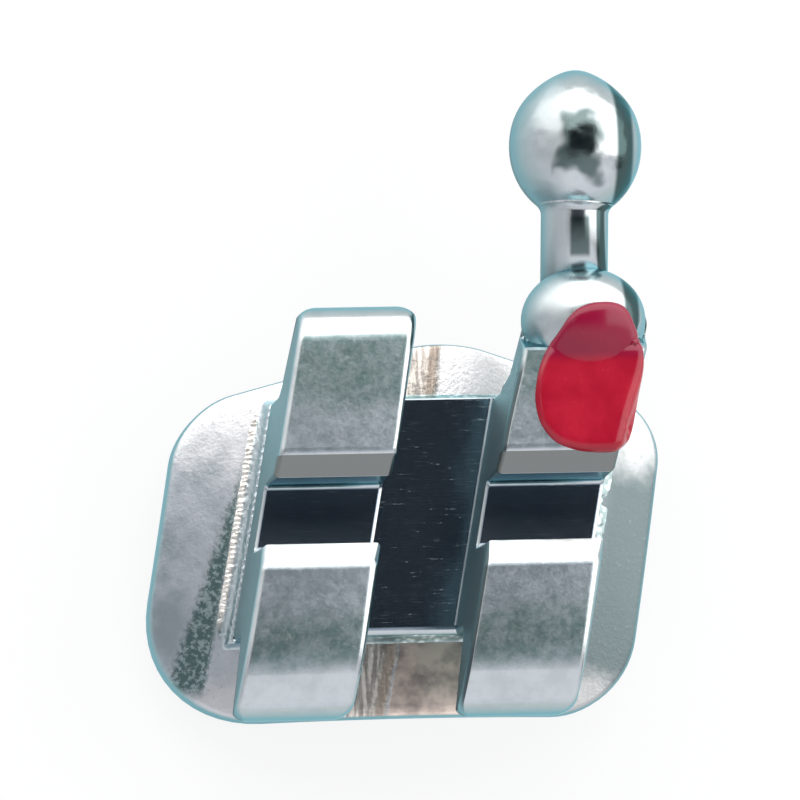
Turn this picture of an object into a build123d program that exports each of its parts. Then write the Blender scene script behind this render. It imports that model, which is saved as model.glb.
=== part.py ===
from build123d import *
from math import radians, sqrt, tan
import os

# Twin orthodontic bracket with a ball hook, brazed to a curved foil and mesh pad.
# The origin is the middle of the archwire slot, on its floor. +Z points out of the tooth,
# +X runs along the archwire to the hook side, and +Y runs to the gum.

# Archwire slot
slot_height = 0.559
slot_depth = 0.750
slot_lead_in = 0.160

# Plan of the body, a rhomboid that leans to the hook side
wing_width = 1.000
channel_width = 0.880
channel_depth = 0.480
body_lean = 11.0

# Tie wings, seen along the archwire
wing_reach = 1.730
wing_tip_thickness = 0.470
wing_root_thickness = 0.710
face_crowning = 0.045
tip_radius = 0.340
tip_under_edge = 0.090
undercut_radius = 0.200
wing_edge = 0.050

# Neck between the wings and the pad
neck_upper = 1.060
neck_lower = 0.960

# Swollen tip of the hook wing
dome_length = 1.050
dome_radius = 0.450
dome_corner = 0.380
dome_reach = 1.600
dome_rise = 0.110

# Ball hook
hook_lean = 2.5
hook_drop = 0.520
post_diameter = 0.568
ball_diameter = 1.120
ball_reach = 3.080
ball_point = 0.090

# Foil of the bonding pad, curved both ways
pad_depth = 0.600
pad_across_radius = 4.600
pad_along_radius = 9.000
foil_thickness = 0.170

# Outline of the pad
pad_left = 2.150
pad_right = 2.050
pad_lean = 9.8
pad_lower = 1.620
pad_peak = 1.594
pad_peak_shift = 0.300
pad_left_shoulder = 1.060
pad_right_shoulder = 0.960
pad_lower_corner = 0.780
pad_left_corner = 0.600
pad_right_corner = 0.520
pad_peak_round = 1.150

# Woven retention mesh on the back of the pad
mesh_thickness = 0.140
mesh_pitch = 0.4233
mesh_wire = 0.160
mesh_inset = 0.040

# Braze filler round the foot of the body
braze_width = 0.130
braze_height = 0.110
braze_land = 0.015

# Identification mark, a skin of enamel on the hook wing
# Its corners are shares of the wing's width and reach, then of the width for their rounding
mark_thickness = 0.045
mark_shares = (
    (-0.35, 0.27, 0.28),
    (0.49, 0.26, 0.12),
    (0.49, 0.77, 0.30),
    (0.06, 1.05, 0.20),
    (-0.36, 0.74, 0.30),
)

# Room past a surface for every cut
overrun = 0.200

# Half sizes and levels that follow
slot_half = slot_height / 2
column_centre = (channel_width + wing_width) / 2
body_half = column_centre + wing_width / 2
tip_top = slot_depth - face_crowning
tip_bottom = tip_top - wing_tip_thickness
wing_root = slot_depth - wing_root_thickness
dome_centre = slot_depth + dome_rise - dome_radius
foil_back = pad_depth + foil_thickness
mesh_back = foil_back + mesh_thickness
pad_reach = max(pad_lower, pad_peak) + overrun
blank_floor = -mesh_back - pad_across_radius / 2
blank_top = slot_depth + dome_radius + overrun


def leaning(x, y, lean=body_lean):
    """A plan point carried sideways by a lean in degrees."""
    return (x + y * tan(radians(lean)), y)


def corner(face, x, y):
    """The corner of a flat outline that lies nearest to a point of its plane."""
    return face.vertices().sort_by_distance(Vector(x, y, 0))[0]


def leaning_plan(centre, half, lower, upper):
    """Rhomboid outline between two ends, leaning with the body."""
    ends = ((-half, lower), (half, lower), (half, upper), (-half, upper))
    return make_face(Polyline(*[leaning(centre + x, y) for x, y in ends], close=True))


def upright(outline, floor, top):
    """A plan outline raised between two levels."""
    return Pos(0, 0, floor) * extrude(outline, top - floor)


def side_profile():
    """Neck, slot and both tie wings as seen along the archwire."""
    under = Polyline(
        (wing_reach, tip_top),
        (wing_reach, tip_bottom),
        (neck_upper, wing_root),
        (neck_upper, blank_floor),
        (-neck_lower, blank_floor),
        (-neck_lower, wing_root),
        (-wing_reach, tip_bottom),
        (-wing_reach, tip_top),
    )
    crown = ThreePointArc((-wing_reach, tip_top), (0, slot_depth), (wing_reach, tip_top))
    profile = make_face(Wire([*under.edges(), *crown.edges()]))
    for side, neck in ((1, neck_upper), (-1, neck_lower)):
        profile = fillet(corner(profile, side * wing_reach, tip_top), tip_radius)
        profile = fillet(corner(profile, side * wing_reach, tip_bottom), tip_under_edge)
        profile = fillet(corner(profile, side * neck, wing_root), undercut_radius)
    profile = profile - Pos(0, slot_depth) * Rectangle(slot_height, 2 * slot_depth)
    for side in (1, -1):
        profile = fillet(corner(profile, side * slot_half, slot_depth), slot_lead_in)
    return profile


def twin_blank():
    """Four tie wings on one base: the side profile inside the plan of columns and base."""
    prism = extrude(Plane.YZ * side_profile(), body_half + wing_reach, both=True)
    plan = upright(leaning_plan(0, body_half, -wing_reach, wing_reach), blank_floor, -channel_depth)
    for side in (-1, 1):
        column = leaning_plan(side * column_centre, wing_width / 2, -wing_reach, wing_reach)
        plan = plan + upright(column, -channel_depth, blank_top)
    return prism & plan


def wing_rims(blank):
    """The edges where the faces of the wings meet the leaning side walls."""
    walls = [side * column_centre + end * wing_width / 2 for side in (-1, 1) for end in (-1, 1)]
    rims = []
    for edge in blank.edges():
        middle = edge.position_at(0.5)
        across = middle.X - middle.Y * tan(radians(body_lean))
        nearest = min(abs(across - wall) for wall in walls)
        if nearest < wing_edge / 2 and middle.Z > slot_depth / 2 and abs(middle.Y) > slot_half + slot_lead_in:
            rims.append(edge)
    return rims


def swollen_tip():
    """Egg shaped swelling that ends the hook wing, lying along the archwire."""
    half = dome_length / 2
    section = make_face(Polyline((-half, 0), (half, 0), (half, dome_radius), (-half, dome_radius), close=True))
    for end in (-half, half):
        section = fillet(corner(section, end, dome_radius), dome_corner)
    x, y = leaning(column_centre, dome_reach)
    return Pos(x, y, dome_centre) * revolve(section, Axis.X)


def ball_hook():
    """Round post and slightly pointed ball, turned about one axis that leans to the hook side."""
    post = post_diameter / 2
    ball = ball_diameter / 2
    length = ball_reach - dome_reach
    tip = ball + ball_point
    tangent_height = ball * ball / tip
    tangent_radius = sqrt(ball * ball - tangent_height * tangent_height)
    standing = (Align.CENTER, Align.CENTER, Align.MIN)
    hook = Cylinder(post, length, align=standing) + Pos(0, 0, length) * Sphere(ball)
    point = Cone(tangent_radius, 0, tip - tangent_height, align=standing)
    hook = hook + Pos(0, 0, length + tangent_height) * point
    x, y = leaning(column_centre, dome_reach)
    return Pos(x, y, slot_depth - hook_drop) * Rot(-90, 0, 0) * Rot(0, hook_lean, 0) * hook


def under_surface(depth):
    """Barrel that fills all below the curved pad surface whose crown lies at this depth."""
    across = pad_across_radius - (depth - pad_depth)
    along = pad_along_radius - (depth - pad_depth)
    drop = along - sqrt(along * along - pad_reach * pad_reach)
    sides = Polyline((pad_reach, across - drop), (pad_reach, 0), (-pad_reach, 0), (-pad_reach, across - drop))
    arc = ThreePointArc((-pad_reach, across - drop), (0, across), (pad_reach, across - drop))
    section = Plane.YZ * make_face(Wire([*sides.edges(), *arc.edges()]))
    return Pos(0, 0, -pad_depth - pad_across_radius) * revolve(section, Axis.Y)


def bracket_body():
    """The one moulded piece: base, four tie wings, swollen tip and ball hook."""
    blank = twin_blank()
    wings = chamfer(wing_rims(blank), wing_edge) - under_surface(pad_depth)
    return wings + swollen_tip() + ball_hook()


def pad_outline():
    """Outline of the pad: leaning sides, straight lower edge and a gabled upper edge."""
    corners = (
        (*leaning(-pad_left, -pad_lower, pad_lean), pad_lower_corner),
        (*leaning(pad_right, -pad_lower, pad_lean), pad_lower_corner),
        (*leaning(pad_right, pad_right_shoulder, pad_lean), pad_right_corner),
        (pad_peak_shift, pad_peak, pad_peak_round),
        (*leaning(-pad_left, pad_left_shoulder, pad_lean), pad_left_corner),
    )
    outline = make_face(Polyline(*[(x, y) for x, y, _ in corners], close=True))
    for x, y, radius in corners:
        outline = fillet(corner(outline, x, y), radius)
    return outline


def bonding_pad():
    """Foil of even thickness, curved to the tooth."""
    foil = under_surface(pad_depth) - under_surface(foil_back)
    return foil & upright(pad_outline(), blank_floor, 0)


def retention_mesh():
    """Mesh brazed to the back of the foil, its openings inside the outline."""
    outline = offset(pad_outline(), -mesh_inset)
    sheet = under_surface(foil_back) - under_surface(mesh_back)
    sheet = sheet & upright(outline, blank_floor, 0)
    opening = mesh_pitch - mesh_wire
    inner = offset(pad_outline(), -mesh_inset - mesh_wire / 2)
    columns = int((pad_left + pad_right) / mesh_pitch) + 2
    rows = int(2 * pad_reach / mesh_pitch) + 2
    gaps = []
    for column in range(-columns, columns + 1):
        for row in range(-rows, rows + 1):
            place = Pos(column * mesh_pitch, row * mesh_pitch)
            gap = place * Rectangle(opening, opening)
            if all(inner.is_inside(vertex.center()) for vertex in gap.vertices()):
                gaps.append(upright(gap, blank_floor, 0))
    return sheet - gaps


def braze_fillet(body):
    """Filler metal in the corner between the foot of the body and the pad."""
    foot = leaning_plan(0, body_half, -neck_lower, neck_upper)
    bead = under_surface(pad_depth - braze_height) & upright(offset(foot, braze_width), blank_floor, 0)
    rim = bead.faces().sort_by(Axis.Z)[-1].edges()
    bead = chamfer(rim, braze_height - braze_land)
    return bead - under_surface(pad_depth) - body


def identification_mark(body):
    """Enamel that follows the face of the hook wing and the near side of its swollen tip."""
    points = [
        (*leaning(column_centre + across * wing_width, along * wing_reach), rounding * wing_width)
        for across, along, rounding in mark_shares
    ]
    outline = make_face(Polyline(*[(x, y) for x, y, _ in points], close=True))
    for x, y, radius in points:
        outline = fillet(corner(outline, x, y), radius)
    raised = Pos(0, 0, mark_thickness) * body
    return (raised & upright(outline, slot_depth / 2, blank_top)) - body


body = bracket_body()
parts = {
    "bracket_body": body,
    "bonding_pad": bonding_pad(),
    "retention_mesh": retention_mesh(),
    "braze_fillet": braze_fillet(body),
    "identification_mark": identification_mark(body),
}
os.makedirs("parts", exist_ok=True)
for name, shape in parts.items():
    export_step(shape, f"parts/{name}.step")
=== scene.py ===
import bmesh
import bpy
from math import asin, ceil, cos, hypot, pi, radians, sin, sqrt, tan
from mathutils import Matrix, Vector, noise
from mathutils.bvhtree import BVHTree


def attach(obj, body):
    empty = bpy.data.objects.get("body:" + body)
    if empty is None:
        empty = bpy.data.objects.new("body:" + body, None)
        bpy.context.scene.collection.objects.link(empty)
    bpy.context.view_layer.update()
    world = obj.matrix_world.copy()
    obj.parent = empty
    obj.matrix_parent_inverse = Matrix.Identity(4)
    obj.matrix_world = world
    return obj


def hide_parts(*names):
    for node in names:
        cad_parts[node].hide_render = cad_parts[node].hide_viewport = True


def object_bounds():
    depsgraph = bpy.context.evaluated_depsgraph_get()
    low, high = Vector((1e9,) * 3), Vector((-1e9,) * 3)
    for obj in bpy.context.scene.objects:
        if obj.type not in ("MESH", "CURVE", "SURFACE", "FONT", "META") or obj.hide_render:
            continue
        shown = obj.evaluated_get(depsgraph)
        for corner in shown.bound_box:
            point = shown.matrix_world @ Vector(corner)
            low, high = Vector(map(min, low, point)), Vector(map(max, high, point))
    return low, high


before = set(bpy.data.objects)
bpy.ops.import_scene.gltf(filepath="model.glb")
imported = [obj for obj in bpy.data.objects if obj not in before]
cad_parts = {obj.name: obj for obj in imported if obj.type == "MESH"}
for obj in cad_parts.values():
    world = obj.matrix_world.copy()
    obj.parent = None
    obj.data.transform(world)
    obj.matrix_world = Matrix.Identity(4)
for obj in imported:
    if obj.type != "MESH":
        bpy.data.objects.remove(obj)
cad_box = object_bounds()

# Camera
# The bracket lies on its pad and is looked down on, a little from the left and from below,
# through a long lens.
mm = 0.001
view_from = Vector((-0.134, -0.114, 0.984)).normalized()
view_distance = 110 * mm
view_target = Vector((-0.2156, 0.9858, 0)) * mm
view_width = 6.725 * mm
view_roll = radians(-1.915)

camera = bpy.data.objects.new("camera", bpy.data.cameras.new("camera"))
bpy.context.scene.collection.objects.link(camera)
across = Vector((0, 1, 0)).cross(view_from).normalized()
axes = Matrix((across, view_from.cross(across), view_from)).transposed()
turned_axes = (axes @ Matrix.Rotation(view_roll, 3, "Z")).to_4x4()
camera.matrix_world = Matrix.Translation(view_target + view_from * view_distance) @ turned_axes
camera.data.lens = camera.data.sensor_width * view_distance / view_width
camera.data.clip_start = view_distance / 10
camera.data.clip_end = view_distance * 100
bpy.context.scene.camera = camera
bpy.context.scene.view_settings.view_transform = "Standard"


# Studio
# A plain pale floor in a light tent: bright windows at the gum and on the hook side, softer light
# from below and from the left with one bright strip, and dark overhead, where the lens looks in.
class Value:
    """A shader socket; sums and products of values add their Math nodes."""

    def __init__(self, tree, socket):
        self.tree = tree
        self.socket = socket

    def math(self, operation, first, second):
        return self.tree.add("Math", {"operation": operation}, {0: first, 1: second})

    def __add__(self, other):
        return self.math("ADD", self, other)

    def __sub__(self, other):
        return self.math("SUBTRACT", self, other)

    def __rsub__(self, other):
        return self.math("SUBTRACT", other, self)

    def __mul__(self, other):
        return self.math("MULTIPLY", self, other)

    def __neg__(self):
        return self * -1

    def size(self):
        return self.math("ABSOLUTE", self, 0)

    def least(self, other):
        return self.math("MINIMUM", self, other)

    def most(self, other):
        return self.math("MAXIMUM", self, other)

    def step(self, low, high):
        """0 below the low value, 1 above the high one, and a smooth rise between them."""
        inputs = {"Value": self, "From Min": low, "From Max": high}
        return self.tree.add("MapRange", {"interpolation_type": "SMOOTHSTEP"}, inputs)

    def inside(self, low, high, soft):
        """1 between two values, with soft ends."""
        return self.step(low - soft, low + soft) * (1 - self.step(high - soft, high + soft))

    __radd__ = __add__
    __rmul__ = __mul__


class Tree:
    """The nodes of one material or of the world."""

    def __init__(self, owner):
        owner.use_nodes = True
        self.nodes = owner.node_tree.nodes
        self.links = owner.node_tree.links
        self.nodes.clear()

    def add(self, kind, settings=None, inputs=None, output=0):
        node = self.nodes.new("ShaderNode" + kind)
        for name, value in (settings or {}).items():
            setattr(node, name, value)
        for name, value in (inputs or {}).items():
            if isinstance(value, Value):
                self.links.new(value.socket, node.inputs[name])
            else:
                node.inputs[name].default_value = value
        return Value(self, node.outputs[output]) if node.outputs else None

    def blend(self, share, first, second):
        """The first colour, turning to the second as the share rises to 1."""
        return self.add("Mix", {"data_type": "RGBA"}, {0: share, 6: first, 7: second}, output=2)

    def axes(self, place):
        parts = self.add("SeparateXYZ", None, {0: place}).socket.node
        return [Value(self, parts.outputs[axis]) for axis in range(3)]

    def noise(self, place, scale, detail, roughness):
        inputs = {"Vector": place, "Scale": scale, "Detail": detail, "Roughness": roughness}
        return self.add("TexNoise", None, inputs)

    def cells(self, place, scale):
        return self.add("TexVoronoi", None, {"Vector": place, "Scale": scale}, output="Distance")

    def stretch(self, place, scale, turn=0.0):
        inputs = {"Vector": place, "Rotation": (0, 0, turn), "Scale": scale}
        return self.add("Mapping", None, inputs)

    def facing(self):
        """The three parts of the way that the surface faces."""
        return self.axes(self.add("NewGeometry", output="Normal"))

    def bump(self, height, distance, strength):
        inputs = {"Height": height, "Distance": distance, "Strength": strength}
        return self.add("Bump", None, inputs)


def grey(level, red=1.0, green=1.0, blue=1.0):
    return (level * red, level * green, level * blue, 1)


studio = bpy.data.worlds.new("studio")
bpy.context.scene.world = studio
sky = Tree(studio)
hook_way, gum_way = sky.axes(sky.add("TexCoord", output="Generated"))[:2]
overhead = grey(0.028, 0.6, 1.0, 1.5)
left_light = grey(0.40, 0.86, 1.0, 1.12)
left_strip = grey(2.0)
lower_light = grey(1.10, 0.98, 1.0, 1.06)
hook_corner = grey(0.14, 0.80, 1.05, 1.10)
hook_window = grey(2.6)
gum_window = grey(3.0)
sky_color = overhead
for share, color in (
    ((-hook_way).step(0.50, 0.80), left_light),
    ((-hook_way).inside(0.42, 0.60, 0.05) * gum_way.inside(0.0, 0.22, 0.05), left_strip),
    ((-gum_way).step(0.05, 0.50), lower_light),
    (hook_way.step(0.84, 0.94), hook_corner),
    (hook_way.step(0.44, 0.56) * gum_way.step(-0.35, -0.10), hook_window),
    (gum_way.step(0.36, 0.44), gum_window),
):
    sky_color = sky.blend(share, sky_color, color)
light = sky.add("Background", None, {"Color": sky_color, "Strength": 1.0})
sky.add("OutputWorld", None, {"Surface": light})

floor_size = 400 * mm
floor_grey = 0.80
floor_white_share = 0.85
floor_mesh =bpy.data.meshes.new("floor")
bm = bmesh.new()
bmesh.ops.create_grid(bm, x_segments=1, y_segments=1, size=floor_size)
bmesh.ops.translate(bm, verts=bm.verts, vec=(0, 0, cad_box[0][2]))
bm.to_mesh(floor_mesh)
bm.free()
floor = bpy.data.objects.new("floor", floor_mesh)
bpy.context.scene.collection.objects.link(floor)
floor_paint = bpy.data.materials.new("floor_paint")
paper = Tree(floor_paint)
matt = paper.add("BsdfDiffuse", None, {"Color": grey(floor_grey)})
lit = paper.add("Emission", None, {"Color": grey(1.0), "Strength": 1.0})
rays = ("Is Camera Ray", "Is Glossy Ray", "Is Transmission Ray")
seen = sum(paper.add("LightPath", output=ray) for ray in rays).least(1)
sheet = paper.add("MixShader", None, {0: seen * floor_white_share, 1: matt, 2: lit})
paper.add("OutputMaterial", None, {"Surface": sheet})
floor_mesh.materials.append(floor_paint)


# Bonding pad
# A stainless steel foil, stamped to an outline with round corners and curved both ways to the
# tooth. Its front is satin, and a film of braze has run over it along the middle.
pad_depth = 0.600 * mm
pad_across_radius = 4.600 * mm
pad_along_radius = 9.000 * mm
foil_thickness = 0.170 * mm
foil_edge = 0.050 * mm
foil_edge_steps = 5
pad_left = 2.150 * mm
pad_right = 2.050 * mm
pad_lean = tan(radians(9.8))
pad_lower = 1.620 * mm
pad_peak = (0.300 * mm, 1.594 * mm)
pad_left_shoulder = 1.060 * mm
pad_right_shoulder = 0.960 * mm
pad_corners = (
    ((-pad_left - pad_lower * pad_lean, -pad_lower), 0.920 * mm),
    ((pad_right - pad_lower * pad_lean, -pad_lower), 0.780 * mm),
    ((pad_right + pad_right_shoulder * pad_lean, pad_right_shoulder), 0.520 * mm),
    (pad_peak, 1.150 * mm),
    ((-pad_left + pad_left_shoulder * pad_lean, pad_left_shoulder), 0.680 * mm),
)
pad_corner_segments = 14
pad_line_piece = 0.06 * mm
pad_rings = 24
pad_edge_facing = 0.1
seam_top = Vector((0.160 * mm, 1.300 * mm))
seam_foot = Vector((-0.320 * mm, -1.280 * mm))
body_half = 1.440 * mm
body_lean_angle = radians(11.0)
body_lean = tan(body_lean_angle)
steel_tint = grey(0.84, 0.58, 0.96, 1.06)


def pad_surface(x, y, depth=pad_depth):
    """Height of the curved surface that has its crown at this depth."""
    along = pad_along_radius - (depth - pad_depth)
    across = pad_across_radius - (depth - pad_depth) - (along - sqrt(along * along - y * y))
    return -pad_depth - pad_across_radius + sqrt(across * across - x * x)


def rounded_outline(bm, corners, piece_length):
    """A flat closed line with round corners, cut into short pieces."""
    verts = [bm.verts.new((x, y, 0)) for (x, y), _ in corners]
    for before, after in zip(verts, verts[1:] + verts[:1]):
        bm.edges.new((before, after))
    reaches = []
    for i, (vert, (_, radius)) in enumerate(zip(verts, corners)):
        before = verts[i - 1].co - vert.co
        after = verts[(i + 1) % len(verts)].co - vert.co
        reaches.append((vert, radius / tan(before.angle(after) / 2)))
    for vert, reach in reaches:
        bmesh.ops.bevel(
            bm, geom=[vert], offset=reach, segments=pad_corner_segments, profile=0.5,
            affect="VERTICES", material=-1,
        )
    for edge in list(bm.edges):
        cuts = ceil(edge.calc_length() / piece_length) - 1
        if cuts > 0:
            bmesh.ops.subdivide_edges(bm, edges=[edge], cuts=cuts)
    return list(bm.edges)


def new_points(grown):
    """The vertices among what an extrusion has made."""
    return [item for item in grown["geom"] if isinstance(item, bmesh.types.BMVert)]


def drawn_in(bm, edges, centre, shares):
    """Rings drawn in from a closed line to a centre, with a face in the last one."""
    rings = [list({vert for edge in edges for vert in edge.verts})]
    last = 1.0
    for share in shares:
        grown = bmesh.ops.extrude_edge_only(bm, edges=edges)
        verts = new_points(grown)
        inner = set(verts)
        lines = [item for item in grown["geom"] if isinstance(item, bmesh.types.BMEdge)]
        edges = [line for line in lines if set(line.verts) <= inner]
        factor = share / last
        bmesh.ops.scale(bm, vec=(factor, factor, 1), space=Matrix.Translation(-centre), verts=verts)
        rings.append(verts)
        last = share
    bmesh.ops.contextual_create(bm, geom=edges)
    return rings


def piece(name, bm, replaced, finish):
    """A finished mesh as a piece of the bracket, in place of its CAD node."""
    bmesh.ops.recalc_face_normals(bm, faces=bm.faces)
    for face in bm.faces:
        face.smooth = True
    mesh = bpy.data.meshes.new(name)
    bm.to_mesh(mesh)
    bm.free()
    made = bpy.data.objects.new(name, mesh)
    bpy.context.scene.collection.objects.link(made)
    mesh.materials.append(finish)
    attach(made, "root")
    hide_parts(replaced)
    return made


def pad_finish():
    """Satin steel with a crystalline grain, the braze film and its rough seam, and painted light
    and shade: paler at both ends, darker on the hook side and beside the left foot, and teal on the
    edges.
    """
    finish = bpy.data.materials.new("pad_steel")
    tree = Tree(finish)
    place = tree.add("TexCoord", output="Object")
    x, y = tree.axes(place)[:2]
    cloud = tree.noise(place, 1.6 / mm, 4.0, 0.65)
    grain = tree.noise(place, 22 / mm, 3.0, 0.7)
    slope = (seam_top.x - seam_foot.x) / (seam_top.y - seam_foot.y)
    wander = (tree.noise(place, 6 / mm, 3.0, 0.6) - 0.5) * (0.10 * mm)
    beside = x - y * slope - (seam_top.x - seam_top.y * slope)
    seam = 1 - (beside + wander).size().step(0.02 * mm, 0.07 * mm)
    film = (beside + wander * 0.3).inside(0.075 * mm, 0.80 * mm, 0.008 * mm)
    film = film * (1 - y.step(-0.9 * mm, -0.8 * mm))
    streaks = tree.noise(tree.stretch(place, (26 / mm, 3 / mm, 3 / mm), radians(10)), 1.0, 3.0, 0.6)
    rough_side = (beside + wander).inside(-0.30 * mm, 0.06 * mm, 0.03 * mm)
    # Painted light: the foil is painted paler towards the gum end.
    painted_light_gum_end = (y + (cloud - 0.5) * (0.8 * mm)).step(0.35 * mm, 1.05 * mm)
    # Painted light: the foil is also painted paler towards its lower end, as if lit from below.
    foot = (-y + (cloud - 0.5) * (0.6 * mm)).step(1.15 * mm, 1.45 * mm)
    dark_steel, light_steel = grey(0.36, 0.90, 1.0, 1.06), grey(0.52, 0.97, 1.0, 1.06)
    steel = tree.blend(cloud.step(0.36, 0.64), dark_steel, light_steel)
    # Painted shade: the foil is painted dark on the hook side, beside the body's wall.
    painted_shade_hook_side = (x - y * body_lean).step(1.25 * mm, 1.70 * mm)
    steel = tree.blend(painted_shade_hook_side, steel, grey(0.17, 0.80, 1.0, 1.03))
    steel = tree.blend(foot * 0.7, steel, grey(0.62, 1.02, 0.99, 0.98))
    steel = tree.blend(painted_light_gum_end, steel, grey(0.90, 1.0, 0.97, 0.97))
    speckled = tree.blend(grain.step(0.58, 0.75) * 0.5, steel, grey(0.28, 0.85, 1.0, 1.05))
    dark_bronze, light_bronze = grey(0.34, 1.14, 0.96, 0.86), grey(0.76, 1.14, 0.95, 0.80)
    bronze = tree.blend(cloud.step(0.42, 0.62), dark_bronze, light_bronze)
    dark_beige, light_beige = grey(0.30, 1.05, 0.92, 0.80), grey(0.82, 1.03, 0.93, 0.82)
    beige = tree.blend(streaks.step(0.40, 0.62), dark_beige, light_beige)
    color = tree.blend(film, speckled, bronze)
    color = tree.blend(rough_side * 0.85, color, beige)
    color = tree.blend(seam * 0.8, color, grey(0.34, 1.10, 0.88, 0.72))
    # A dark crystalline band beside the body's left foot: the grain is real, but its darkness is
    # painted shade at the foot.
    outside = y * body_lean - body_half - x + (grain - 0.5) * (0.16 * mm)
    shaded_crystal_band = outside.step(0.10 * mm, 0.14 * mm)
    shaded_crystal_band = shaded_crystal_band * (1 - (outside + y * 0.17).step(0.16 * mm, 0.26 * mm))
    shaded_crystal_band = shaded_crystal_band * y.inside(-1.36 * mm, 1.0 * mm, 0.08 * mm)
    dark_crystal, light_crystal = grey(0.15, 0.66, 1.0, 0.98), grey(0.36, 0.80, 1.0, 1.0)
    crystal = tree.blend(grain.step(0.46, 0.62), dark_crystal, light_crystal)
    color = tree.blend(shaded_crystal_band, color, crystal)
    # Painted reflection: the foil's edges, which face sideways, are tinted teal.
    front_side = tree.facing()[2]
    color = tree.blend(1 - front_side.step(0.40, 0.84), color, grey(0.46, 0.58, 0.95, 1.03))
    rough = 0.30 + 0.10 * cloud + 0.12 * grain - film * 0.12
    height = grain * (1 - film * 0.8) + (seam + rough_side * 0.6) * streaks * 2.5
    steel = tree.add(
        "BsdfPrincipled",
        None,
        {
            "Base Color": color,
            "Metallic": 1.0,
            "Roughness": rough,
            "Specular Tint": steel_tint,
            "Normal": tree.bump(height, 0.006 * mm, 0.6),
        },
    )
    tree.add("OutputMaterial", None, {"Surface": steel})
    return finish


bm = bmesh.new()
outline = rounded_outline(bm, pad_corners, pad_line_piece)
edge_angles = [pi / 2 * (i + 1) / foil_edge_steps for i in range(foil_edge_steps)]
edge_shares = [1 - foil_edge * (1 - cos(angle)) / pad_left for angle in edge_angles]
inner_shares = [edge_shares[-1] * (1 - (i + 1) / pad_rings) for i in range(pad_rings - 1)]
rings = drawn_in(bm, outline, Vector((0, 0, 0)), edge_shares + inner_shares)
front = list(bm.faces)
for vert in bm.verts:
    vert.co.z = pad_surface(vert.co.x, vert.co.y)
for angle, ring in zip([0, *edge_angles], rings):
    bmesh.ops.translate(bm, verts=ring, vec=(0, 0, -foil_edge * (1 - sin(angle))))
for vert in new_points(bmesh.ops.extrude_face_region(bm, geom=front)):
    vert.co.z = pad_surface(vert.co.x, vert.co.y, pad_depth + foil_thickness)
bonding_pad = piece("bonding_pad_foil", bm, "bonding_pad", pad_finish())
for polygon in bonding_pad.data.polygons:
    if abs(polygon.normal.z) < pad_edge_facing:
        polygon.use_smooth = False


# Bracket body
# The base, the four tie wings, the archwire slot and the channel are one moulded piece of
# stainless steel that leans to the hook side. Its wing faces are satin and its floors ground.
slot_half = 0.559 / 2 * mm
slot_depth = 0.750 * mm
slot_lead_in = 0.185 * mm
slot_lead_slope = 0.75
slot_lead_foot = slot_depth - slot_lead_in * slot_lead_slope
slot_lead_radius = 0.140 * mm
slot_lead_segments = 8
slot_foot_radius = 0.045 * mm
slot_foot_segments = 7
slot_rim = 0.50
slot_rim_slope = 0.36
rim_widening = 0.9
rim_taper = 1.1 * mm
wing_width = 1.000 * mm
channel_half = body_half - wing_width
channel_depth = 0.480 * mm
wing_reach = 1.730 * mm
wing_tip_thickness = 0.470 * mm
wing_root = 0.040 * mm
face_crowning = 0.045 * mm
face_pieces = 30
lower_fall = 0.380
lower_fall_start = 1.060 * mm
tip_radius = 0.340 * mm
lower_tip_radius = 0.300 * mm
tip_segments = 18
tip_room = 1.1
tip_under_edge = 0.070 * mm
undercut_radius = 0.200 * mm
undercut_segments = 9
wing_edge = 0.055 * mm
wing_edge_steps = 6
plan_corner = 0.120 * mm
hook_wing_corner = 0.220 * mm
hook_wing_shift = 0.045 * mm
hook_wing_flare = 0.060 * mm
neck_upper = 1.060 * mm
neck_lower = 0.960 * mm
swell_start = neck_upper / 2
swell_length = neck_upper * 0.8
wing_ends = ((1, neck_upper, tip_radius), (-1, neck_lower, lower_tip_radius))
base_upper_edge = 0.020 * mm
base_lower_edge = 0.080 * mm
base_edge_segments = 6
base_recess = 0.004 * mm
foot_bite = 0.040 * mm
crease_angle = radians(17)
column_centre = channel_half + wing_width / 2
cove_radius = 0.030 * mm
cove_steps = 6
cove_length = neck_upper + neck_lower - base_lower_edge - base_upper_edge
dome_half = 0.525 * mm
dome_radius = 0.450 * mm
dome_reach = 1.580 * mm
dome_height = 0.410 * mm
dome_shift = 0.055 * mm
dome_blend = 1.300 * mm
dome_blend_length = 0.160 * mm
dome_cover = 0.020 * mm
dome_place = Vector((column_centre + dome_reach * body_lean + dome_shift, dome_reach, dome_height))
merge_distance = 0.0005 * mm


def eased(share):
    """A smooth rise from 0 to 1."""
    share = min(1, max(0, share))
    return share * share * (3 - 2 * share)


def face_height(y):
    """Height of the gently crowned wing faces; the lower wings fall off towards their tips."""
    fall = max(0, -y - lower_fall_start)
    return slot_depth - face_crowning * (y / wing_reach) ** 2 - lower_fall * fall * fall / mm


wing_bottom = face_height(wing_reach) - wing_tip_thickness


def dome_top(x, y):
    """Height of the swollen tip's surface."""
    across = (x - dome_place.x) / dome_half * dome_radius
    return dome_place.z + sqrt(max(0, dome_radius**2 - across**2 - (y - dome_place.y) ** 2))


def wing_outline():
    """Both tie wings and the slot between them, down to the pad, seen along the archwire."""
    outline = []
    near = slot_half + slot_lead_in + slot_lead_radius / 2
    for turn, neck, radius in wing_ends:
        far = wing_reach - tip_room * radius
        crown = [near + (far - near) * i / face_pieces for i in range(face_pieces + 1)]
        half = [(neck, -pad_depth), (neck, wing_root), (wing_reach, wing_bottom)]
        half += [(wing_reach, face_height(turn * wing_reach))]
        half += [(y, face_height(turn * y)) for y in reversed(crown)]
        half += [(slot_half + slot_lead_in, slot_depth), (slot_half, slot_lead_foot)]
        half += [(slot_half, 0)]
        outline += [(turn * y, z) for y, z in half][::turn]
    return outline


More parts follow.
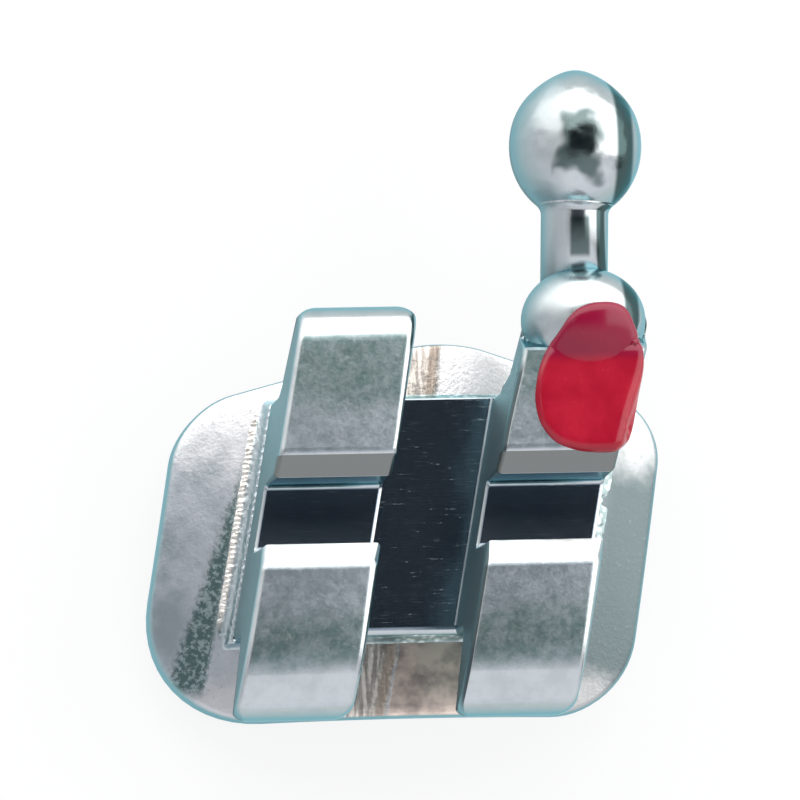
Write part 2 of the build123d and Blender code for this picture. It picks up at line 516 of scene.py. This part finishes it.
def rim_share(y, z, way):
    """A rim's width: thin at the slot floor's ends, wider towards the gum on the hook side."""
    if abs(y) > slot_half + merge_distance and z > slot_depth / 2 and way > 0:
        from_gum_end = (wing_reach if y > 0 else -slot_half) - y
        return 1 + rim_widening * max(0, 1 - from_gum_end / rim_taper)
    if abs(y) > slot_half + merge_distance or z < -merge_distance:
        return 1
    return slot_rim + (1 - slot_rim) * min(1, z / slot_depth)


def rounded_rim(bm, cap, way):
    """A flat end of a column grows a round rim, or a flat bevel beside the slot's floor."""
    shares = {vert: rim_share(vert.co.y, vert.co.z, way) for vert in cap.verts}
    for vert in cap.verts:
        vert.co.x += way * wing_edge * (1 - shares[vert])
    for i in range(wing_edge_steps):
        before, after = pi / 2 * i / wing_edge_steps, pi / 2 * (i + 1) / wing_edge_steps
        inward = wing_edge * (cos(before) - cos(after))
        bmesh.ops.inset_region(bm, faces=[cap], thickness=inward, use_even_offset=True)
        ring = set(cap.verts)
        for vert in ring:
            beside = [edge.other_vert(vert) for edge in vert.link_edges]
            outside = next(other for other in beside if other not in ring)
            share = shares.get(outside, shares.get(vert))
            shares[vert] = shares[outside] = share
            beside_floor = abs(vert.co.y) < slot_half + wing_edge and vert.co.z < slot_foot_radius
            if beside_floor and vert.co.z > -wing_edge:
                step = share * wing_edge / wing_edge_steps
                vert.co = outside.co.lerp(vert.co, slot_rim_slope * step / inward)
                vert.co.x = outside.co.x + way * step
            else:
                vert.co = outside.co.lerp(vert.co, share)
                vert.co.x += way * share * wing_edge * (sin(after) - sin(before))


def wing_column(bm, left, right):
    """One column with an upper and a lower wing, its profile drawn out along the archwire."""
    known = set(bm.faces)
    bm.faces.new([bm.verts.new((left + wing_edge, y, z)) for y, z in wing_outline()])
    for turn, neck, roll in wing_ends:
        for y, z, radius, segments in (
            (wing_reach, face_height(turn * wing_reach), roll, tip_segments),
            (wing_reach, wing_bottom, tip_under_edge, undercut_segments),
            (slot_half + slot_lead_in, slot_depth, slot_lead_radius, slot_lead_segments),
            (slot_half, 0, slot_foot_radius, slot_foot_segments),
            (neck, wing_root, undercut_radius, undercut_segments),
        ):
            profile = next(face for face in bm.faces if face not in known)
            vert = min(profile.verts, key=lambda v: hypot(v.co.y - turn * y, v.co.z - z))
            before, after = (edge.other_vert(vert).co - vert.co for edge in vert.link_edges)
            reach = radius / tan(before.angle(after) / 2)
            bmesh.ops.bevel(
                bm, geom=[vert], offset=reach, segments=segments, profile=0.5,
                affect="VERTICES", material=-1,
            )
    near_cap = next(face for face in bm.faces if face not in known)
    grown = bmesh.ops.extrude_face_region(bm, geom=[near_cap])["geom"]
    far_cap = next(item for item in grown if isinstance(item, bmesh.types.BMFace))
    bmesh.ops.translate(bm, vec=(right - left - 2 * wing_edge, 0, 0), verts=far_cap.verts)
    rounded_rim(bm, near_cap, -1)
    rounded_rim(bm, far_cap, 1)


def body_finish():
    """Stainless steel: mottled satin on the wing faces with painted light near the slot, ground
    floors darkened with painted shade, bright elsewhere, with painted shade and reflections on
    walls, undersides, the lead-in, the ball and the post.
    """
    finish = bpy.data.materials.new("bracket_steel")
    tree = Tree(finish)
    place = tree.add("TexCoord", output="Object")
    x, y, z = tree.axes(place)
    cloud = tree.noise(place, 3.2 / mm, 4.0, 0.65)
    wave = tree.noise(place, 5 / mm, 1.0, 0.5)
    grain = tree.noise(place, 34 / mm, 3.0, 0.7)
    hook_side, gum_side, front_side = tree.facing()
    mottle = tree.noise(place, 9 / mm, 4.0, 0.7)
    on_wing = (1 - y.step(1.80 * mm, 1.90 * mm)) * z.step(0.05 * mm, 0.10 * mm)
    on_face = (front_side + (cloud - 0.5) * 0.02).step(0.955, 0.990) * on_wing
    on_left = (-hook_side).step(0.15, 0.45)
    in_channel = (1 - z.step(-0.475 * mm, -0.470 * mm)) * front_side.step(0.85, 0.95)
    in_slot = 1 - z.size().step(0.002 * mm, 0.004 * mm)
    in_slot = in_slot * (1 - y.size().step(0.275 * mm, 0.278 * mm))
    scratches = tree.noise(tree.stretch(place, (4.5 / mm, 60 / mm, 60 / mm)), 1.0, 3.0, 0.75)
    fleck = grain.step(0.66, 0.72)
    # Painted light: the satin wing faces are painted paler near the slot and darker towards the
    # tips, as lit and shaded copies of one mottled satin.
    painted_light_near_slot = 1 - (y.size() + (cloud - 0.5) * (0.5 * mm)).step(0.72 * mm, 1.05 * mm)
    blotch = mottle.step(0.34, 0.66)
    shaded_satin = tree.blend(blotch, grey(0.28, 0.70, 1.0, 0.98), grey(0.42, 0.84, 1.0, 1.02))
    lit_satin = tree.blend(blotch, grey(0.42, 0.86, 1.0, 1.06), grey(0.56, 0.90, 1.0, 1.06))
    satin = tree.blend(painted_light_near_slot, shaded_satin, lit_satin)
    satin = tree.blend(fleck * 0.4, satin, grey(0.70, 0.9, 1.0, 1.0))
    bright, clouded = grey(0.56, 0.95, 1.0, 1.01), grey(0.42, 0.93, 1.0, 1.02)
    polished_and_painted_light = tree.blend(cloud.step(0.4, 0.7) * 0.5, bright, clouded)
    # Painted shade: the slot and channel floors are painted dark and bluish; the lighter scratches
    # on them are real.
    painted_shade_floor, scratched = grey(0.30, 0.82, 0.98, 1.15), grey(0.75, 0.92, 1.0, 1.05)
    ground = tree.blend(scratches.step(0.56, 0.78), painted_shade_floor, scratched)
    beside = x - y * body_lean
    # Painted shade: the hook-side column's wall that faces the channel is painted nearly black.
    wall = on_left.step(0.5, 0.9) * beside.inside(0.40 * mm, 0.52 * mm, 0.02 * mm)
    wall = wall * z.step(0.05 * mm, 0.16 * mm) * (1 - y.step(1.10 * mm, 1.25 * mm))
    polished_and_painted_light = tree.blend(wall, polished_and_painted_light, grey(0.10, 0.80, 1.0, 1.05))
    # Painted reflection: surfaces that face sideways are tinted teal.
    polished_and_painted_light = tree.blend(1 - front_side.step(0.15, 0.85), polished_and_painted_light, grey(0.46, 0.60, 0.95, 1.03))
    # Painted shade: surfaces turned sideways and downwards, under the wings and rims, are painted
    # darker.
    polished_and_painted_light = tree.blend(1 - front_side.step(0.02, 0.12), polished_and_painted_light, grey(0.32, 0.78, 0.98, 1.02))
    shaded = hook_side.inside(0.52, 0.80, 0.04) * y.step(1.30 * mm, 1.40 * mm)
    polished_and_painted_light = tree.blend(shaded, polished_and_painted_light, grey(0.10, 0.66, 1.0, 1.0))
    # Painted reflection: the lead-in on the gum side of the slot is painted dark olive grey.
    painted_reflection_lead_in = y.inside(0.281 * mm, 0.455 * mm, 0.001 * mm) * z.step(0.54 * mm, 0.58 * mm)
    polished_and_painted_light = tree.blend(painted_reflection_lead_in, polished_and_painted_light, grey(0.21, 0.97, 1.0, 0.96))
    on_ball = y.step(2.50 * mm, 2.60 * mm)
    # Painted reflection: a dark ragged patch on the ball's front and a dark strip along the post.
    ragged = (wave - 0.5) * 0.6
    painted_reflection_patch = (hook_side + ragged).inside(-0.44, 0.22, 0.10)
    painted_reflection_patch = painted_reflection_patch * (gum_side - ragged).inside(-0.44, 0.36, 0.10) * on_ball
    painted_reflection_strip = hook_side.inside(-0.26, 0.30, 0.06) * y.inside(2.12 * mm, 2.46 * mm, 0.03 * mm)
    polished_and_painted_light = tree.blend((painted_reflection_patch + painted_reflection_strip) * 0.9, polished_and_painted_light, grey(0.11, 0.66, 1.0, 0.98))
    color = tree.blend(on_face, polished_and_painted_light, satin)
    color = tree.blend(in_channel.most(in_slot), color, ground)
    rough = 0.17 + 0.06 * grain + on_face * (0.10 + 0.14 * grain) + on_left * 0.28
    rough = rough + in_channel * scratches.step(0.58, 0.78) * 0.12
    height = wave * (3 + 15 * on_ball) + mottle * (0.8 + 2 * on_ball)
    height = height + on_face * grain * 1.2 + in_channel.most(in_slot * 0.3) * scratches
    steel = tree.add(
        "BsdfPrincipled",
        None,
        {
            "Base Color": color,
            "Metallic": 1.0,
            "Roughness": rough,
            "Specular Tint": steel_tint,
            "Normal": tree.bump(height, 0.0018 * mm, 0.5),
        },
    )
    tree.add("OutputMaterial", None, {"Surface": steel})
    return finish


bracket_steel = body_finish()
bm = bmesh.new()
for side in (-1, 1):
    centre = side * column_centre
    known = set(bm.verts)
    wing_column(bm, centre - wing_width / 2, centre + wing_width / 2)
    for vert in set(bm.verts) - known:
        on_hook_wing = side == 1 and vert.co.y > 0 and vert.co.z > wing_root
        corner = hook_wing_corner if on_hook_wing else plan_corner
        past = abs(vert.co.y) - (wing_reach - corner)
        if past > 0:
            drawn = corner - sqrt(max(0, corner**2 - past**2))
            vert.co.x = centre + (vert.co.x - centre) * (1 - 2 * drawn / wing_width)
        if on_hook_wing:
            flare = hook_wing_shift + (hook_wing_flare if vert.co.x > centre else 0)
            vert.co.x += flare * eased((vert.co.y - swell_start) / swell_length)
        if vert.co.z < -pad_depth + merge_distance:
            vert.co.z = -pad_depth - foil_thickness
base = set(bmesh.ops.create_cube(bm, size=2)["verts"])
for vert in base:
    vert.co.x *= channel_half + 2 * wing_edge
    vert.co.y = neck_upper - base_recess if vert.co.y > 0 else base_recess - neck_lower
    vert.co.z = -channel_depth if vert.co.z > 0 else -pad_depth - foil_thickness
for way, chamfer in ((1, base_upper_edge), (-1, base_lower_edge)):
    top = {vert for vert in base if vert.is_valid and vert.co.z > -pad_depth}
    end = {vert for vert in top if vert.co.y * way > 0}
    rim = [edge for edge in bm.edges if set(edge.verts) <= end]
    bmesh.ops.bevel(
        bm, geom=rim, offset=chamfer, segments=base_edge_segments, profile=0.5,
        affect="EDGES", material=-1,
    )
for way in (-1, 1):
    cove = [bm.verts.new((way * channel_half, -neck_lower + base_lower_edge, -channel_depth))]
    for i in range(cove_steps + 1):
        angle = pi / 2 * i / cove_steps
        x = way * (channel_half - cove_radius * (1 - sin(angle)))
        z = -channel_depth + cove_radius * (1 - cos(angle))
        cove.append(bm.verts.new((x, cove[0].co.y, z)))
    far_end = new_points(bmesh.ops.extrude_face_region(bm, geom=[bm.faces.new(cove)]))
    bmesh.ops.translate(bm, vec=(0, cove_length, 0), verts=far_end)
lean = Matrix.Identity(4)
lean[0][1] = body_lean
bmesh.ops.transform(bm, matrix=lean, verts=bm.verts)
for vert in bm.verts:
    if vert.co.z < -pad_depth - foil_thickness + merge_distance:
        vert.co.z = pad_surface(vert.co.x, vert.co.y) - foot_bite
    if vert.co.x > channel_half and vert.co.y > dome_blend and vert.co.z > dome_place.z:
        sunk = min(vert.co.z, dome_top(vert.co.x, vert.co.y) - dome_cover)
        vert.co.z += (sunk - vert.co.z) * eased((vert.co.y - dome_blend) / dome_blend_length)
bmesh.ops.recalc_face_normals(bm, faces=bm.faces)
for edge in bm.edges:
    edge.smooth = edge.calc_face_angle(0) < crease_angle
body = piece("bracket_body_shell", bm, "bracket_body", bracket_steel)
even = body.modifiers.new("even_normals", "WEIGHTED_NORMAL")
even.keep_sharp = True
even.thresh = 0.0


# Swollen tip and ball hook
# The hook wing ends in a smooth egg that the round post grows out of. The ball at its end keeps
# an elastic from slipping off. They are moulded in one with the body and polished with it.
dome_steps = 40
dome_turns = 160
crease = 0.090 * mm
hook_lean = radians(2.5)
hook_height = 0.230 * mm
post_radius = 0.284 * mm
post_neck = 0.050 * mm
post_neck_segments = 5
ball_radius = 0.558 * mm
ball_above = 0.650 * mm
ball_below = 0.613 * mm
ball_reach = 3.080 * mm
ball_point = 0.26
ball_point_power = 4
ball_steps = 48
hook_turns = 112
post_place = Vector((dome_place.x - dome_shift, dome_reach, hook_height))


def turned(bm, points, turns):
    """A shape turned about the X axis from a line of points that starts and ends on it."""
    verts = [bm.verts.new((x, 0, radius)) for x, radius in points]
    for first, second in zip(verts, verts[1:]):
        bm.edges.new((first, second))
    bmesh.ops.spin(
        bm, geom=bm.verts[:] + bm.edges[:], axis=(1, 0, 0), angle=2 * pi, steps=turns,
        use_merge=True,
    )
    bmesh.ops.remove_doubles(bm, verts=bm.verts, dist=merge_distance)


bm = bmesh.new()
angles = [pi * i / dome_steps for i in range(dome_steps + 1)]
turned(bm, [(-dome_half * cos(angle), dome_radius * sin(angle)) for angle in angles], dome_turns)
bmesh.ops.translate(bm, verts=bm.verts, vec=dome_place)
for vert in bm.verts:
    above = (vert.co.z - face_height(vert.co.y)) / crease
    if vert.co.y < dome_place.y and 0 < above < 1:
        vert.co.y -= crease * (1 - sqrt(1 - (1 - above) ** 2))
    elif vert.co.y < dome_place.y and -1 < above <= 0:
        vert.co.y -= crease * (1 + above)
dome = piece("hook_wing_tip", bm, "bracket_body", bracket_steel)

bm = bmesh.new()
neck_angle = asin(post_radius / ball_radius)
line = [(0, 0), (0, post_radius)]
for i in range(ball_steps + 1):
    angle = neck_angle + (pi - neck_angle) * i / ball_steps
    height = -cos(angle) * (ball_below if angle < pi / 2 else ball_above)
    point = 1 - ball_point * max(0, -cos(angle)) ** ball_point_power
    line.append((ball_reach - dome_reach + height, ball_radius * sin(angle) * point))
turned(bm, line, hook_turns)
joint = [v for v in bm.verts if abs(v.co.x - line[2][0]) < merge_distance]
rim = [e for e in bm.edges if e.verts[0] in joint and e.verts[1] in joint]
bmesh.ops.bevel(
    bm, geom=rim, offset=post_neck, segments=post_neck_segments, profile=0.5,
    affect="EDGES", material=-1,
)
stand = Matrix.Rotation(pi / 2 - hook_lean, 4, "Z")
stand.translation = post_place
bmesh.ops.transform(bm, matrix=stand, verts=bm.verts)
piece("ball_hook_pin", bm, "bracket_body", bracket_steel)


# Braze filler
# A thin alloy drew into the joint between the body's foot and the foil, and froze as a pinkish
# string of beads on one side and as rough grey crystals on the other.
braze_height = 0.110 * mm
braze_width = 0.120 * mm
braze_spread = 0.240 * mm
braze_left_spread = 0.140 * mm
braze_end_spread = 0.050 * mm
braze_taper = 0.350 * mm
braze_margin = 1.35
braze_step = 0.012 * mm
braze_grain = 0.014 * mm
braze_left_grain = 0.2
braze_lump_scale = 8 / mm
braze_crumb_scale = 21 / mm
braze_crumb_share = 0.7
braze_ragged = 0.25
braze_film = 0.005 * mm
braze_back = 0.040 * mm
bead_place = 0.095 * mm
bead_half = 0.026 * mm
bead_rise = 0.014 * mm
bead_pitch = 0.040 * mm
bead_wave = 0.5
bead_jitter = 4


def foot_distance(x, y):
    """How far a place on the pad is outside the body's foot."""
    beside = (abs(x - y * body_lean) - body_half) * cos(body_lean_angle)
    beyond = y - neck_upper if y > 0 else -neck_lower - y
    if beside > 0 and beyond > 0:
        return hypot(beside, beyond)
    return max(beside, beyond)


def braze_reach(x, y):
    """How far the alloy has spread from the foot: far at the sides, hardly at the ends."""
    from_end = min(1, max(0, min(neck_upper - y, neck_lower + y) / braze_taper))
    side_reach = braze_left_spread if x < y * body_lean else braze_spread
    return braze_end_spread + (side_reach - braze_end_spread) * from_end


def braze_finish():
    """Pinkish beige where the alloy stands thick on the left, with dark grain beside it painted as
    shade, grey and crystalline elsewhere.
    """
    finish = bpy.data.materials.new("braze_filler")
    tree = Tree(finish)
    place = tree.add("TexCoord", output="Object")
    x, y = tree.axes(place)[:2]
    side = x - y * body_lean
    grain = tree.noise(place, 22 / mm, 3.0, 0.65)
    crystal = tree.cells(place, 16 / mm)
    on_left = 1 - side.step(-0.5 * mm, 0)
    light_crystal, dark_crystal = grey(0.66, 0.90, 1.0, 1.0), grey(0.34, 0.80, 1.0, 1.0)
    grey_alloy = tree.blend(crystal.step(0.2, 0.6), light_crystal, dark_crystal)
    # Partly painted shade: beside the string on the left, the alloy's grain is real, but it is
    # painted nearly black as shade at the foot.
    shaded_black_grain, grey_grain = grey(0.13, 0.70, 1.0, 0.98), grey(0.34, 0.85, 1.0, 1.0)
    shaded_alloy = tree.blend(grain.step(0.45, 0.70), shaded_black_grain, grey_grain)
    dull_pink, pale_pink = grey(0.60, 1.04, 0.93, 0.84), grey(0.98, 1.0, 0.93, 0.86)
    pink_alloy = tree.blend(grain.step(0.30, 0.55), dull_pink, pale_pink)
    string = side.inside(-body_half - 0.130 * mm, -body_half - 0.070 * mm, 0.012 * mm)
    string = string * y.inside(-0.75 * mm, 1.05 * mm, 0.15 * mm)
    toe = side.step(-body_half - 0.09 * mm, -body_half - 0.06 * mm)
    shaded_alloy = tree.blend(toe, shaded_alloy, grey(0.50, 0.90, 1.0, 1.04))
    color = tree.blend(on_left, grey_alloy, tree.blend(string, shaded_alloy, pink_alloy))
    alloy = tree.add(
        "BsdfPrincipled",
        None,
        {
            "Base Color": color,
            "Metallic": 1.0,
            "Roughness": 0.20 + 0.25 * grain,
            "Specular Tint": steel_tint,
            "Normal": tree.bump(grain + crystal, 0.008 * mm, 0.6),
        },
    )
    tree.add("OutputMaterial", None, {"Surface": alloy})
    return finish


bm = bmesh.new()
foot_half = Vector((body_half + neck_upper * body_lean, neck_upper))
sheet_half = foot_half + Vector((braze_spread, braze_spread))
pieces_across, pieces_along = (ceil(2 * half / braze_step) for half in sheet_half)
bmesh.ops.create_grid(bm, x_segments=pieces_across, y_segments=pieces_along, size=1)
bmesh.ops.scale(bm, vec=(*sheet_half, 1), verts=bm.verts)
bare = []
for vert in bm.verts:
    away = foot_distance(vert.co.x, vert.co.y)
    if not -foot_bite < away < braze_margin * braze_reach(vert.co.x, vert.co.y):
        bare.append(vert)
bmesh.ops.delete(bm, geom=bare, context="VERTS")
for vert in bm.verts:
    away = foot_distance(vert.co.x, vert.co.y)
    reach = braze_reach(vert.co.x, vert.co.y)
    share = 1 - min(1, max(0, away / min(braze_width, reach)))
    fillet = braze_height * (1 - sqrt(1 - share * share))
    lump = noise.noise(vert.co * braze_lump_scale)
    lump += braze_crumb_share * noise.noise(vert.co * braze_crumb_scale)
    on_left = vert.co.x < vert.co.y * body_lean
    on_string = on_left and -neck_lower < vert.co.y < neck_upper
    spread = min(1, 2 * (1 - min(1, max(0, away * (1 + braze_ragged * lump) / reach))))
    rough = braze_grain * lump * spread * (braze_left_grain if on_left else 1)
    bead = max(0, 1 - abs(away - bead_place) / bead_half) * on_string
    wave = 1 + bead_wave * sin(2 * pi * vert.co.y / bead_pitch + bead_jitter * lump)
    film = braze_film * (2 * spread - 1)
    beads = bead_rise * sqrt(bead) * wave
    vert.co.z = pad_surface(vert.co.x, vert.co.y) + fillet + rough + beads + film
under = new_points(bmesh.ops.extrude_face_region(bm, geom=bm.faces[:]))
bmesh.ops.translate(bm, verts=under, vec=(0, 0, -braze_back))
piece("braze_bead", bm, "braze_fillet", braze_finish())


# Identification mark
# A drop of glossy red enamel, put on the hook wing by hand. It fills the crease below the
# swollen tip, hangs over the wing's outer rim and ends in a round meniscus.
mark_thickness = 0.045 * mm
mark_meniscus = 0.060 * mm
mark_rings = 40
mark_softening = 6
mark_corner_percent = 49
mark_corner_segments = 12
mark_points = (
    (1.405, 1.697), (1.254, 1.674), (1.131, 1.600), (1.034, 1.441), (0.916, 1.295), (0.832, 1.050),
    (0.813, 0.802), (0.900, 0.578), (1.075, 0.455), (1.366, 0.416), (1.576, 0.440), (1.660, 0.560),
    (1.718, 0.907), (1.774, 1.202), (1.746, 1.366), (1.680, 1.536), (1.630, 1.640), (1.540, 1.690),
)
mark_centre = Vector((1.300 * mm, 1.050 * mm, 0))
mark_rim_level = face_height(wing_reach) - wing_edge
probe_height = dome_height * 5


def enamel_finish():
    """Glossy red enamel, a little deeper where it lies thick."""
    finish = bpy.data.materials.new("mark_enamel")
    tree = Tree(finish)
    place = tree.add("TexCoord", output="Object")
    y = tree.axes(place)[1]
    cloud = tree.noise(place, 3 / mm, 3.0, 0.6)
    red = tree.blend(cloud.step(0.3, 0.7), (0.30, 0.004, 0.018, 1), (0.38, 0.008, 0.026, 1))
    thick_red = (0.20, 0.003, 0.030, 1)
    color = tree.blend(y.step(1.18 * mm, 1.28 * mm) * 0.8, red, thick_red)
    enamel = tree.add(
        "BsdfPrincipled",
        None,
        {
            "Base Color": color,
            "Roughness": 0.20 + 0.12 * cloud,
            "IOR": 1.35,
            "Coat Weight": 0.25,
            "Coat Roughness": 0.05,
            "Normal": tree.bump(cloud, 0.006 * mm, 0.3),
        },
    )
    tree.add("OutputMaterial", None, {"Surface": enamel})
    return finish


depsgraph = bpy.context.evaluated_depsgraph_get()
under_mark = [BVHTree.FromObject(part, depsgraph) for part in (body, dome)]


def on_metal(x, y, at_rim):
    """The metal below a point of the mark and its normal; past the rim the enamel hangs free."""
    above = Vector((x, y, probe_height))
    hits = [metal.ray_cast(above, Vector((0, 0, -1))) for metal in under_mark]
    hits = [hit for hit in hits if hit[0] is not None and hit[0].z > dome_height]
    if hits:
        return max(hits, key=lambda hit: hit[0].z)[:2]
    beside = Vector((x, y, mark_rim_level))
    nearest = min((metal.find_nearest(beside) for metal in under_mark), key=lambda hit: hit[3])
    wall, normal, _, gap = nearest
    if at_rim:
        return wall - Vector((0, 0, 2 * gap)), normal
    return beside - Vector((0, 0, gap)), Vector((1, 0, 1)).normalized()


bm = bmesh.new()
corners = [bm.verts.new((x * mm, y * mm, 0)) for x, y in mark_points]
for before, after in zip(corners, corners[1:] + corners[:1]):
    bm.edges.new((before, after))
bmesh.ops.bevel(
    bm, geom=corners, offset=mark_corner_percent, offset_type="PERCENT",
    segments=mark_corner_segments, profile=0.5, affect="VERTICES", material=-1,
)
bmesh.ops.remove_doubles(bm, verts=bm.verts, dist=merge_distance)
shares = [1 - (i + 1) / mark_rings for i in range(mark_rings - 1)]
rings = drawn_in(bm, list(bm.edges), mark_centre, shares)
shortest = min((vert.co - mark_centre).length for vert in rings[0])
for index, ring in enumerate(rings):
    inside = min(1, index / mark_rings * shortest / mark_meniscus)
    film = mark_thickness * (1.1 * sqrt(1 - (1 - inside) ** 2) - 0.1)
    for vert in ring:
        spot, normal = on_metal(vert.co.x, vert.co.y, index == 0)
        vert.co = spot + normal * film
inner = [vert for vert in bm.verts if not vert.is_boundary]
for _ in range(mark_softening):
    bmesh.ops.smooth_vert(
        bm, verts=inner, factor=0.5, use_axis_x=True, use_axis_y=True, use_axis_z=True
    )
mark = piece("enamel_mark", bm, "identification_mark", enamel_finish())
wall = mark.modifiers.new("thickness", "SOLIDIFY")
wall.thickness = mark_thickness
wall.offset = -1


# Retention mesh
# Round stainless wires, woven over and under each other and sintered to the back of the foil,
# so that bonding resin can key in. The wires end at the foil's edge.
mesh_pitch = 0.4233 * mm
mesh_wire_radius = 0.060 * mm
mesh_swing = 0.048 * mm
mesh_embedded = 0.040 * mm
mesh_inset = 0.090 * mm
mesh_sides = 12
mesh_steps = 10
mesh_line_piece = 0.1 * mm


def pad_limits(outline, axis, value):
    """Where a line across the pad enters and leaves its outline, short of the edge."""
    crossings = []
    for before, after in outline:
        if (before[axis] - value) * (after[axis] - value) < 0:
            share = (value - before[axis]) / (after[axis] - before[axis])
            crossings.append(before.lerp(after, share)[1 - axis])
    return (min(crossings) + mesh_inset, max(crossings) - mesh_inset) if crossings else (0, 0)


def mesh_finish():
    """Dull sintered steel wire."""
    finish = bpy.data.materials.new("mesh_steel")
    tree = Tree(finish)
    place = tree.add("TexCoord", output="Object")
    grain = tree.noise(place, 20 / mm, 3.0, 0.6)
    dark_wire, light_wire = grey(0.32, 0.93, 1.0, 1.02), grey(0.52, 0.96, 1.0, 1.0)
    color = tree.blend(grain.step(0.3, 0.7), dark_wire, light_wire)
    steel = tree.add(
        "BsdfPrincipled",
        None,
        {
            "Base Color": color,
            "Metallic": 1.0,
            "Roughness": 0.34 + 0.2 * grain,
            "Normal": tree.bump(grain, 0.006 * mm, 0.4),
        },
    )
    tree.add("OutputMaterial", None, {"Surface": steel})
    return finish


bm = bmesh.new()
pad_line = rounded_outline(bm, pad_corners, mesh_line_piece)
outline = [[vert.co.copy() for vert in edge.verts] for edge in pad_line]
bm.free()
bm = bmesh.new()
wire_mesh = bpy.data.meshes.new("wire")
middle = pad_depth + foil_thickness + mesh_wire_radius + mesh_swing - mesh_embedded
for axis in (0, 1):
    places = [vert[axis] for edge in outline for vert in edge]
    for line in range(ceil(min(places) / mesh_pitch), ceil(max(places) / mesh_pitch)):
        flanks = (line * mesh_pitch - mesh_inset, line * mesh_pitch, line * mesh_pitch + mesh_inset)
        limits = [pad_limits(outline, axis, place) for place in flanks]
        start, end = max(low for low, high in limits), min(high for low, high in limits)
        if end - start < mesh_pitch:
            continue
        wire = bmesh.new()
        bmesh.ops.create_circle(wire, cap_ends=True, segments=mesh_sides, radius=mesh_wire_radius)
        top = new_points(bmesh.ops.extrude_face_region(wire, geom=wire.faces[:]))
        bmesh.ops.translate(wire, verts=top, vec=(0, 0, end - start))
        top_edges = [(vert, edge) for vert in top for edge in vert.link_edges]
        long_edges = [edge for vert, edge in top_edges if edge.other_vert(vert) not in top]
        cuts = ceil((end - start) / mesh_pitch * mesh_steps) - 1
        bmesh.ops.subdivide_edges(wire, edges=long_edges, cuts=cuts)
        for vert in wire.verts:
            along = start + vert.co.z
            swing = mesh_swing * cos(pi * along / mesh_pitch) * (-1) ** (line + axis)
            x, y = (line * mesh_pitch, along) if axis == 0 else (along, line * mesh_pitch)
            z = pad_surface(x, y, middle) + swing + vert.co.y
            vert.co = (x + vert.co.x, y, z) if axis == 0 else (x, y + vert.co.x, z)
        wire.to_mesh(wire_mesh)
        wire.free()
        bm.from_mesh(wire_mesh)
bpy.data.meshes.remove(wire_mesh)
piece("retention_mesh_wires", bm, "retention_mesh", mesh_finish())
